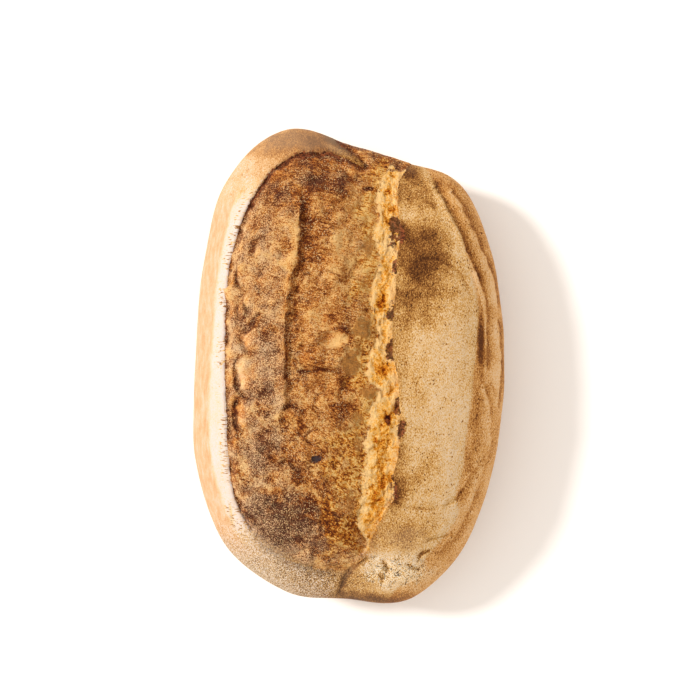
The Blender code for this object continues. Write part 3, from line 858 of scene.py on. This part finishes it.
# %% A wrapped socket
class Wire:
    """An output socket of a node tree, on which arithmetic adds nodes."""

    def __init__(self, tree, socket):
        self.tree = tree
        self.socket = socket

    def node(self, kind, inputs, output=0, **settings):
        """Any other node: its type, its inputs by name or number, and its settings."""
        made = self.tree.nodes.new(kind)
        for name, value in settings.items():
            setattr(made, name, value)
        for key, value in inputs.items():
            if isinstance(value, Wire):
                self.tree.links.new(value.socket, made.inputs[key])
            else:
                made.inputs[key].default_value = value
        return Wire(self.tree, made.outputs[output])

    def sum(self, operation, *values):
        """One Math node."""
        return self.node("ShaderNodeMath", dict(enumerate(values)), operation=operation)

    def __add__(self, other):
        return self.sum("ADD", self, other)

    __radd__ = __add__

    def __mul__(self, other):
        return self.sum("MULTIPLY", self, other)

    __rmul__ = __mul__

    def __sub__(self, other):
        return self.sum("SUBTRACT", self, other)

    def __rsub__(self, other):
        return self.sum("SUBTRACT", other, self)

    def above(self, low, high, kind="SMOOTHSTEP"):
        """A step from 0 at low to 1 at high, eased or straight."""
        limits = {0: self, 1: low, 2: high, 3: 0.0, 4: 1.0}
        return self.node("ShaderNodeMapRange", limits, interpolation_type=kind)

    def most(self, other):
        """The larger of two values."""
        return self.sum("MAXIMUM", self, other)

    def held(self):
        """The value kept between 0 and 1."""
        return self.sum("MINIMUM", self.sum("MAXIMUM", self, 0.0), 1.0)


STUDIO = 1.5  # how strongly a level surface is lit


def paint(red, green, blue):
    """The finish that looks like this colour, from 0 to 255, in the studio light."""
    linear = [((value / 255 + 0.055) / 1.055) ** 2.4 / STUDIO for value in (red, green, blue)]
    return (*linear, 1.0)


def blend(factor, first, second, **settings):
    """A mix of two colours: first where the factor is 0, second where it is 1."""
    inputs = {0: factor, 6: first, 7: second}
    return factor.node("ShaderNodeMix", inputs, output=2, data_type="RGBA", **settings)


def glazed(factor, colour, coat):
    """A colour seen through a thin coat of another."""
    return blend(factor, colour, coat, blend_type="MULTIPLY")


def baked(level, stops):
    """A colour for a bake level, through stops of (level, red, green, blue)."""
    (low, *shade), *rest = stops
    colour = paint(*shade)
    for high, *deeper in rest:
        colour = blend(level.above(low, high, "LINEAR"), colour, paint(*deeper))
        low = high
    return colour


print("toast is", [round(value, 3) for value in paint(200, 120, 60)])

# %% [markdown]
# ## The crust's material
# All the finishes are one material, because they run into each other. Each has a few colours for
# its bake levels. The levels come from the mesh, where they were set by place, and noise adds the
# grain: specks and strands on the dough, dark pits and cracked plates in the floury crust, pits and
# crests in the torn crumb. Smooth windows on the slope are bubble walls that stayed whole. Last,
# the finishes are laid over each other along the cut's edges.

# %% Start the material, and read what the mesh keeps
crust = bpy.data.materials.new("country_crust")
crust.use_nodes = True
tree = crust.node_tree
shader = tree.nodes["Principled BSDF"]
place = Wire(tree, tree.nodes.new("ShaderNodeTexCoord").outputs["Object"])


def kept(name):
    """A number that the mesh keeps at each point."""
    return place.node("ShaderNodeAttribute", {}, output=2, attribute_name=name)


def spread(size, stretch, shift, turn):
    """The place, scaled so that one unit is a size in metres, and turned about the vertical."""
    turned = place.node("ShaderNodeMapping", {"Vector": place, "Rotation": (0, 0, turn)})
    scale = [1 / (size * side) for side in stretch]
    return place.node("ShaderNodeMapping", {"Vector": turned, "Scale": scale, "Location": (shift,) * 3})


def noise_of(size, detail=2.0, roughness=0.5, stretch=(1, 1, 1), shift=0.0, turn=0.0, swirl=0.0):
    """Noise around 0, with lumps of a size in metres, stretched or swirled."""
    inputs = {"Vector": spread(size, stretch, shift, turn), "Scale": 1.0}
    inputs |= {"Detail": detail, "Roughness": roughness, "Distortion": swirl}
    return place.node("ShaderNodeTexNoise", inputs) - 0.5


def specks_of(size, stretch=(1, 1, 1), shift=0.0):
    """Distance to the nearest of scattered specks."""
    inputs = {"Vector": spread(size, stretch, shift, 0.0), "Scale": 1.0}
    return place.node("ShaderNodeTexVoronoi", inputs)


inside_cut = kept("inside_cut")
grain = noise_of(0.0005, 1, 0.6)
blotch = noise_of(0.0042, 3, 0.6, shift=3)
patch = noise_of(0.011, 3, shift=9, swirl=0.6)
hue = noise_of(0.009, shift=59, swirl=0.5)
print("nodes so far:", len(tree.nodes))

# %% The opened dough: toasted, grainy and blistered
GOLDEN = (
    (0, 262, 212, 138), (0.25, 246, 173, 86), (0.5, 214, 131, 57), (0.75, 162, 84, 30),
    (1.1, 92, 36, 10),
)
DUSTY_TOAST = (
    (0, 258, 220, 174), (0.25, 238, 182, 130), (0.5, 206, 144, 98), (0.75, 154, 102, 70),
    (1.1, 90, 52, 36),
)
beads = specks_of(0.0013, shift=47) - 0.45
rough = kept("rough")
crinkle = noise_of(0.0056, 3, shift=61, swirl=1.2)
veins = (1 - crinkle.sum("ABSOLUTE", crinkle).above(0, 0.035)) * hue.above(-0.06, 0.1)
near = 1 - place.node("ShaderNodeSeparateXYZ", {"Vector": place}, output=1).above(-0.03, 0)
strand = (1 - near) * noise_of(0.0009, 3, 0.6, stretch=(7, 1, 1), shift=11, turn=0.14)
strand = strand + near * noise_of(0.0009, 3, 0.6, stretch=(4, 1, 1), shift=12, turn=0.6)
dusted = (kept("dusty") + hue * 2.0).held()
shreds = noise_of(0.0024, 3, 0.55, shift=67, swirl=0.6)
lumps = shreds * (near * 1.2 + 0.5) * rough
speckle = grain * (2.5 + dusted * 3.4) + beads * (0.3 + dusted * 0.4)
streaked = strand * (2.0 - dusted * 1.2)
level = kept("dough_bake_and_shade") + lumps * 0.9
level = level + (speckle + streaked + blotch * 0.8 + veins * 0.28) * rough + patch * (near * 0.9 + 1.45)
dough_colour = blend(dusted, baked(level, GOLDEN), baked(level, DUSTY_TOAST))
# Tiny bright specks over the dough: painted glints of light, and in the dusty places pale flour specks.
glint_and_flour_spread = noise_of(0.006, shift=7).above(-0.09, 0.1).most(dusted.above(0.7, 1) * 0.7)
glint_and_flour_speck = (1 - specks_of(0.001, shift=5).above(0.2, 0.42)) * glint_and_flour_spread
dough_colour = blend(glint_and_flour_speck * 0.85, dough_colour, paint(272, 226, 162))
dough_colour = blend(kept("seed") * 0.85, dough_colour, paint(78, 76, 80))
print("the dough has", len(GOLDEN), "bake colours")

# %% The slope into the tear: stretched strands, and smooth windows
flow = noise_of(0.0018, 3, 0.6, shift=13, swirl=0.5)
crisp = noise_of(0.0009, 2, 0.6, shift=15)
slope_level = kept("dough_bake_and_shade") - 0.14 + strand * 2.6 + grain * 1.7 + blotch * 1.3 + flow * 2.4
SLOPE = (
    (0, 274, 226, 142), (0.25, 262, 184, 66), (0.5, 222, 126, 38), (0.75, 162, 84, 28),
    (1.1, 92, 36, 10),
)
slope_colour = baked(slope_level, SLOPE)
window_colour = baked(strand * 1.6 + blotch, ((-0.2, 140, 88, 40), (0.2, 226, 158, 80)))
print("the slope has", len(SLOPE), "bake colours")

# %% The torn crumb: cream crests over deep orange pits
CRUMB = (
    (-1.3, 116, 36, 0), (-0.75, 214, 100, 4), (-0.25, 268, 170, 36), (0.25, 296, 220, 94),
    (0.85, 300, 250, 172),
)
# The torn level holds painted light on the left crest and painted shade beside the lip.
crumb_level = kept("torn") + flow * 2.8 + crisp * 2.6 + grain * 2.2 + blotch * 1.4
crumb_colour = baked(crumb_level, CRUMB)
print("the crumb has", len(CRUMB), "colours")

# %% The first crust: floury, tan or brown, with fine dark pits
FIRST = (
    (0, 242, 232, 232), (0.2, 250, 217, 168), (0.4, 238, 186, 104), (0.6, 190, 132, 66),
    (0.8, 138, 84, 36), (1.05, 80, 44, 18),
)
PEACH = (
    (0.1, 248, 224, 206), (0.3, 242, 197, 152), (0.55, 218, 148, 80), (0.85, 140, 82, 42),
)
powder = noise_of(0.00065, 2, 0.7, stretch=(0.8, 1.4, 1), shift=17)
cloud = noise_of(0.01, 3, 0.55, shift=19)
streak = noise_of(0.0018, 3, 0.6, stretch=(1, 5, 1.6), shift=21)
paler = kept("band")
first_level = kept("crust_bake_and_shade") + powder * rough * 1.9 + cloud * 0.45 * rough.held()
first_level = first_level + kept("peach") * streak * 0.6
pits = (1 - specks_of(0.0017, stretch=(0.8, 1.3, 1), shift=23).above(0.1, 0.34)) * rough.held()
dots = pits * (noise_of(0.005, shift=29) + kept("cracked") * 0.06).above(0, 0.12)
curls = noise_of(0.003, stretch=(0.7, 1.7, 1), shift=37, swirl=0.8) - 0.03
plates = 1 - curls.sum("ABSOLUTE", curls).above(0.01, 0.03)
splits = kept("cracked") * plates * blotch.above(-0.05, 0.05)
nicks = paler * noise_of(0.0007, 1, stretch=(5, 1, 5), shift=41).above(0.07, 0.13)
nicks = nicks * inside_cut.above(-26, -8) * noise_of(0.012, shift=43).above(-0.1, 0.04)
tanned = kept("amber").above(0, 0.16) * (1 - kept("cracked")) * 0.15
first_level = first_level.most(tanned) + dots * 0.55 + nicks * 0.75
first_colour = blend(kept("peach"), baked(first_level, FIRST), baked(first_level, PEACH))
first_colour = blend(kept("dusty").held() * 0.26, first_colour, paint(232, 204, 164))
first_colour = glazed(kept("amber"), first_colour, (1.08, 0.98, 0.84, 1.0))
first_colour = glazed(kept("cracked"), first_colour, (1.15, 1.19, 1.04, 1.0))
first_colour = blend(splits, first_colour, paint(84, 50, 16))
print("the first crust has", len(FIRST), "colours")

# %% Lay the finishes over each other
fray = noise_of(0.0012, 2, 0.6, shift=31) * 1.6
edge = (inside_cut + fray).above(-1, 1)
on_slope = (kept("slope") + fray * 0.4).above(0.12, 0.6)
skin_colour = blend(on_slope, dough_colour, slope_colour)
glassy = (kept("window") + blotch * 1.2 + strand * 1.4).above(0.15, 1)
skin_colour = blend(glassy * 0.85, skin_colour, window_colour)
torn_open = (kept("crumb_edge") + fray * 1.2 + shreds * 3.6 + strand * 5.0).above(-0.25, 0.25)
skin_colour = blend(torn_open, skin_colour, crumb_colour)
skin_colour = blend(edge, first_colour, skin_colour)
# The char mask also carries painted shade under the lip, in the same dark colours.
singed_and_shaded = kept("char_and_lip_shade")
burnt_and_shaded = (singed_and_shaded + (shreds * 2.6 + grain * 0.5) * singed_and_shaded.above(0, 0.3)).above(0.32, 0.58)
curled = (flow * 2.2 + crisp * 1.2 + grain * 0.6).above(-0.14, 0.16)
char_and_shade_colour = blend(curled, paint(80, 36, 22), paint(176, 98, 56))
skin_colour = blend(burnt_and_shaded * 0.92, skin_colour, char_and_shade_colour)
print("nodes with the colours:", len(tree.nodes))

# %% Roughness and fine relief
shine = 0.8 - edge * grain.above(0, 0.2) * 0.25
height = (grain * 0.0012 - beads * 0.0005 + blotch * 0.0012 - veins * 0.0004) * edge * rough
height = height + patch * edge * 0.0014
height = height + strand * (on_slope * 0.4 + 0.5) * edge * 0.0009 + shreds * burnt_and_shaded * 0.0012
height = height + torn_open * crumb_level * 0.00028 + lumps * edge * 0.0016
height = height - (dots * 0.0003 + splits * 0.0005) * (1 - edge)
height = height + powder * 0.0002 * rough.held() * (1 - edge)
normal = height.node("ShaderNodeBump", {"Height": height, "Distance": 1.0, "Strength": 0.9})
for name, wire in (("Base Color", skin_colour), ("Roughness", shine), ("Normal", normal)):
    tree.links.new(wire.socket, shader.inputs[name])
shader.inputs["Specular IOR Level"].default_value = 0.12
print("nodes with the relief:", len(tree.nodes))


# %% Hang the loaf on the frame
def placed(name, data):
    """A new object in the scene, at the origin."""
    made = bpy.data.objects.new(name, data)
    bpy.context.scene.collection.objects.link(made)
    return made


loaf = placed("crusty_loaf", skin)
loaf.data.materials.append(crust)
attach(loaf, "root")
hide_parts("loaf")
print(loaf.name, "has", sum(len(face.vertices) - 2 for face in skin.polygons), "triangles")

# %% [markdown]
# ## Light, floor and camera
# The loaf lies on a plain white sheet and is seen straight from above. One bright light comes from
# the left, halfway up the sky, and its size gives the shadow a soft edge. The sky around fills the
# shadow, so it stays a light warm grey.

# %% Floor
sheet = bmesh.new()
bmesh.ops.create_grid(sheet, x_segments=1, y_segments=1, size=3)
floor = placed("floor", bpy.data.meshes.new("floor"))
sheet.to_mesh(floor.data)
sheet.free()
paper = bpy.data.materials.new("white_sheet")
paper.use_nodes = True
matt = paper.node_tree.nodes["Principled BSDF"].inputs
matt["Base Color"].default_value = (0.97, 0.96, 0.95, 1)
matt["Roughness"].default_value = 0.9
floor.data.materials.append(paper)
print("floor laid")

# %% Light
UP, TURN = math.radians(42.5), math.radians(162)
sun = placed("window_light", bpy.data.lights.new("window_light", "SUN"))
sun.data.energy = 2.6
sun.data.angle = math.radians(10)
sun.data.color = (1.0, 0.97, 0.93)
towards = Vector((math.cos(TURN) * math.cos(UP), math.sin(TURN) * math.cos(UP), math.sin(UP)))
sun.rotation_euler = towards.to_track_quat("Z", "Y").to_euler()
world = bpy.data.worlds.new("studio")
world.use_nodes = True
sky = world.node_tree.nodes["Background"].inputs
sky["Color"].default_value = (1.0, 0.93, 0.86, 1)
sky["Strength"].default_value = 0.97
bpy.context.scene.world = world
bpy.context.scene.view_settings.view_transform = "Standard"
print("the light comes from", [round(value, 2) for value in towards])

# %% Camera
camera = placed("camera", bpy.data.cameras.new("camera"))
camera.data.sensor_width = 36
camera.data.lens = 108.7
camera.data.clip_end = 10
camera.location = (0.00057, 0.00907, 1.238)
bpy.context.scene.camera = camera
print("the camera looks straight down from", camera.location.z, "m")
